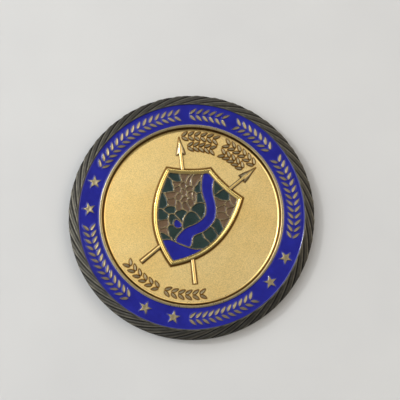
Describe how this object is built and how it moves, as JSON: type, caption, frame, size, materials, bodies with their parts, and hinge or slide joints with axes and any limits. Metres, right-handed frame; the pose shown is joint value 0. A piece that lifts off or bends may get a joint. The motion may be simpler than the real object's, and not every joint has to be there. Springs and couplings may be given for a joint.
{
  "type": "challenge coin",
  "caption": "Struck challenge coin with a dark rope-cut edge, a blue enamel band of leaves and stars, and an enamelled shield over crossed spears on a gold field.",
  "frame": {"origin": "centre of the reverse, in the plane the coin lies on", "axes": "+Z out of the obverse, +Y towards the design's twelve o'clock, +X to its right"},
  "size_m": [0.0444, 0.0444, 0.0032],
  "materials": {
    "gold_plated_metal": "gold plated, with polished raised lines, sandblasted fields and a darkened antique rope edge",
    "blue_enamel": "gloss",
    "green_enamel": "gloss",
    "brown_enamel": "gloss"
  },
  "bodies": {
    "root": {"struck_body": "gold_plated_metal", "front_band_enamel": "blue_enamel", "back_band_enamel": "blue_enamel", "river_enamel": "blue_enamel", "sea_enamel": "blue_enamel", "lake_enamel": "blue_enamel", "plateau_enamel": "brown_enamel", "ridge_enamel": "brown_enamel", "slope_enamel": "brown_enamel", "meadow_enamel_1": "green_enamel", "meadow_enamel_2": "green_enamel", "meadow_enamel_3": "green_enamel", "meadow_enamel_4": "green_enamel", "meadow_enamel_5": "green_enamel", "meadow_enamel_6": "green_enamel", "meadow_enamel_7": "green_enamel", "meadow_enamel_8": "green_enamel", "meadow_enamel_9": "green_enamel", "meadow_enamel_10": "green_enamel", "meadow_enamel_11": "green_enamel", "meadow_enamel_12": "green_enamel", "meadow_enamel_13": "green_enamel", "meadow_enamel_14": "green_enamel", "meadow_enamel_15": "green_enamel", "meadow_enamel_16": "green_enamel", "meadow_enamel_17": "green_enamel", "meadow_enamel_18": "green_enamel", "rose_enamel_1": "blue_enamel", "rose_enamel_2": "blue_enamel", "rose_enamel_3": "blue_enamel", "rose_enamel_4": "blue_enamel", "rose_enamel_5": "blue_enamel", "rose_enamel_6": "blue_enamel", "rose_enamel_7": "blue_enamel", "rose_enamel_8": "blue_enamel"}
  },
  "joints": []
}
